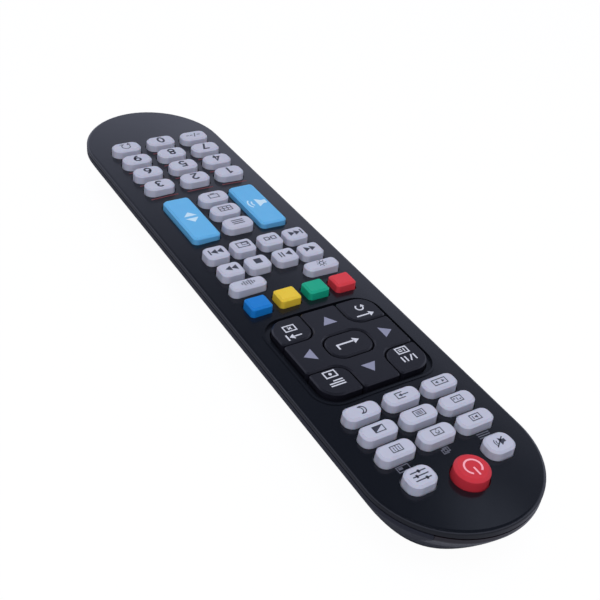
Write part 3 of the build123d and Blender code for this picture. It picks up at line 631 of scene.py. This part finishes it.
# Printing on the cover: thin red bars by the number keys, grey ones by the text keys, and three
# grey pictures, in a film of ink that follows the crown of the cover.
def build_printed_bars():
    """A tree that prints a bar at each point and bends it to the crown of the cover."""
    tree = bpy.data.node_groups.new("printed_bars", "GeometryNodeTree")
    for way in ("OUTPUT", "INPUT"):
        tree.interface.new_socket(name="Geometry", in_out=way, socket_type="NodeSocketGeometry")
    for socket in (
        "Bar Length", "Bar Width", "Ink Depth", "Crown Top", "Crown Drop", "Cover Half Width",
    ):
        tree.interface.new_socket(name=socket, in_out="INPUT", socket_type="NodeSocketFloat")
    tree.interface.new_socket(name="Ink", in_out="INPUT", socket_type="NodeSocketMaterial")
    given = add(tree, "NodeGroupInput").outputs

    bar = add(tree, "GeometryNodeMeshGrid", {
        "Vertices X": 7, "Vertices Y": 2,
        "Size X": given["Bar Length"], "Size Y": given["Bar Width"],
    })
    spread = add(tree, "GeometryNodeInstanceOnPoints", {
        "Points": given["Geometry"], "Instance": bar.outputs["Mesh"],
    })
    flat = add(tree, "GeometryNodeRealizeInstances", {"Geometry": spread.outputs["Instances"]})

    position = add(tree, "GeometryNodeInputPosition")
    spot = add(tree, "ShaderNodeSeparateXYZ", {"Vector": position.outputs["Position"]}).outputs
    across = add(tree, "ShaderNodeMath", {0: spot["X"], 1: given["Cover Half Width"]}, "DIVIDE")
    square = add(tree, "ShaderNodeMath", {0: across.outputs[0], 1: across.outputs[0]}, "MULTIPLY")
    fall = add(tree, "ShaderNodeMath", {0: square.outputs[0], 1: given["Crown Drop"]}, "MULTIPLY")
    level = add(tree, "ShaderNodeMath", {0: given["Crown Top"], 1: fall.outputs[0]}, "SUBTRACT")
    place = add(tree, "ShaderNodeCombineXYZ", {
        "X": spot["X"], "Y": spot["Y"], "Z": level.outputs[0],
    })
    bent = add(tree, "GeometryNodeSetPosition", {
        "Geometry": flat.outputs["Geometry"], "Position": place.outputs["Vector"],
    })

    raised = add(tree, "GeometryNodeExtrudeMesh", {
        "Mesh": bent.outputs["Geometry"], "Offset": (0, 0, 1),
        "Offset Scale": given["Ink Depth"], "Individual": False,
    })
    underside = add(tree, "GeometryNodeFlipFaces", {"Mesh": bent.outputs["Geometry"]})
    both = add(tree, "GeometryNodeJoinGeometry", {"Geometry": raised.outputs["Mesh"]})
    feed(tree, both, {"Geometry": underside.outputs["Mesh"]})
    closed = add(tree, "GeometryNodeMergeByDistance", {
        "Geometry": both.outputs["Geometry"], "Distance": merge_reach,
    })
    inked = add(tree, "GeometryNodeSetMaterial", {
        "Geometry": closed.outputs["Geometry"], "Material": given["Ink"],
    })
    add(tree, "NodeGroupOutput", {"Geometry": inked.outputs["Geometry"]})
    return tree


printed_bars = build_printed_bars()


def print_bars(name, places, length, width, material):
    """Print like bars on the cover, centred on places in millimetres."""
    points = bpy.data.meshes.new(f"{name}_points")
    points.from_pydata([(x * MM, y * MM, 0) for x, y in places], [], [])
    printer = bpy.data.objects.new(f"{name}_points", points)
    bpy.context.collection.objects.link(printer)
    modifier = printer.modifiers.new("printed_bars", "NODES")
    modifier.node_group = printed_bars
    values = {
        "Bar Length": length * MM, "Bar Width": width * MM,
        "Ink Depth": (ink_depth + ink_proud) * MM,
        "Crown Top": (crown_top - ink_depth) * MM, "Crown Drop": crown_drop * MM,
        "Cover Half Width": cad_box[1][0], "Ink": material,
    }
    for socket in printed_bars.interface.items_tree:
        if socket.in_out == "INPUT" and socket.name in values:
            modifier[socket.identifier] = values[socket.name]
    bpy.context.view_layer.update()
    depsgraph = bpy.context.evaluated_depsgraph_get()
    mesh = bpy.data.meshes.new_from_object(printer.evaluated_get(depsgraph))
    bpy.data.objects.remove(printer)
    bars = bpy.data.objects.new(name, mesh)
    bpy.context.collection.objects.link(bars)
    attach(bars, "handset")


def beside(keys, gap):
    """Places on the cover next to keys, on the side of the emitter end."""
    return [(x, y + gap) for x, y, _ in map(key_top, keys)]


number_bar_gap, text_bar_gap, picture_gap = 4.5, 3.45, 4.3
number_bar_places = beside(number_keys[:10], number_bar_gap)
text_bar_places = beside(text_keys[3:], text_bar_gap)
print_bars("number_bars", number_bar_places, 9.8, 0.55, red_ink)
print_bars("text_bars", text_bar_places, 5.0, 0.45, grey_ink)

cover_icons = {
    "key_text_hold": block(4.0, 0.34, 0, 0.7) + block(4.0, 0.34) + block(4.0, 0.34, 0, -0.7),
    "key_text_reveal": frame_line(1.5, 1.3, -0.3, -0.15, 0.3)
    + frame_line(1.5, 1.3, 0.35, 0.25, 0.3),
    "key_text_index": frame_line(3.4, 1.7, 0.5, 0, 0.3) + block(1.2, 0.7, 1.2, -0.2),
}
for node, shapes in cover_icons.items():
    x, y = beside([node], picture_gap)[0]
    print_mark(f"{node}_cover_mark", shapes, grey_ink, "handset", x, y)


# Inside: a grey silicone sheet and the pad's island over a green board, with the controller chip
# under it and the infrared diode at its end. Nothing here shows while the handset is closed.
sheet_silicone = silicone("grey_silicone_sheet", (120, 122, 128))
for name in ("keypad_sheet", "arrow_pad_cushion"):
    dress(name, sheet_silicone)

board_green = moulded(
    "green_board", (26, 92, 60), 0.3, drift=0.5, drift_scale=300.0, grain_scale=900.0
)
dress("circuit_board", board_green)
chip_black = moulded("chip_black", (30, 30, 32), 0.6, grain_scale=6000.0, grain_depth=0.00003)
dress("controller_chip", chip_black)
led_lens = moulded(
    "led_lens", (64, 58, 84), 0.1, drift=0.1, smudge=0.04, extra={"Coat Weight": 0.6}
)
dress("infrared_led", led_lens)


# Battery cells and contacts: two steel cells in plain two-tone sleeves, head to tail, held
# between bowed leaf strips of plated spring steel.
contact_metal = moulded(
    "contact_metal", (196, 196, 192), 0.26, drift=0.12, drift_scale=500.0, extra={"Metallic": 1.0}
)
dress("battery_contacts", contact_metal)

cell_steel, cell_dark, cell_copper = (176, 178, 184), (40, 42, 48), (168, 120, 72)
cell_coat = moulded(
    "cell_sleeve", cell_dark, 0.32, drift=0.08, drift_scale=400.0, extra={"Metallic": 0.6}
)
low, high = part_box("battery_cells")
cell_middle, half_length = (low.y + high.y) / 2, (high.y - low.y) / 2
tree = cell_coat.node_tree
spot = add(tree, "ShaderNodeTexCoord")
axes = add(tree, "ShaderNodeSeparateXYZ", {"Vector": spot.outputs["Object"]}).outputs
offset = add(tree, "ShaderNodeMath", {0: axes["Y"], 1: cell_middle}, "SUBTRACT")
which = add(tree, "ShaderNodeMath", {0: axes["X"]}, "SIGN")
along = add(tree, "ShaderNodeMath", {0: offset.outputs[0], 1: which.outputs[0]}, "MULTIPLY")
spread = add(tree, "ShaderNodeMapRange", {
    "Value": along.outputs[0], "From Min": -half_length, "From Max": half_length,
})
bands = add(tree, "ShaderNodeValToRGB", {"Fac": spread.outputs["Result"]})
ramp = bands.color_ramp
ramp.interpolation = "CONSTANT"
ramp.elements[0].color = linear(*cell_steel)
ramp.elements[1].position = 0.03
ramp.elements[1].color = linear(*cell_dark)
for place, colour in ((0.7, cell_copper), (0.95, cell_steel)):
    ramp.elements.new(place).color = linear(*colour)
finish = next(node for node in tree.nodes if node.type == "GROUP")
feed(tree, finish, {"Colour": bands.outputs["Color"]})
dress("battery_cells", cell_coat)
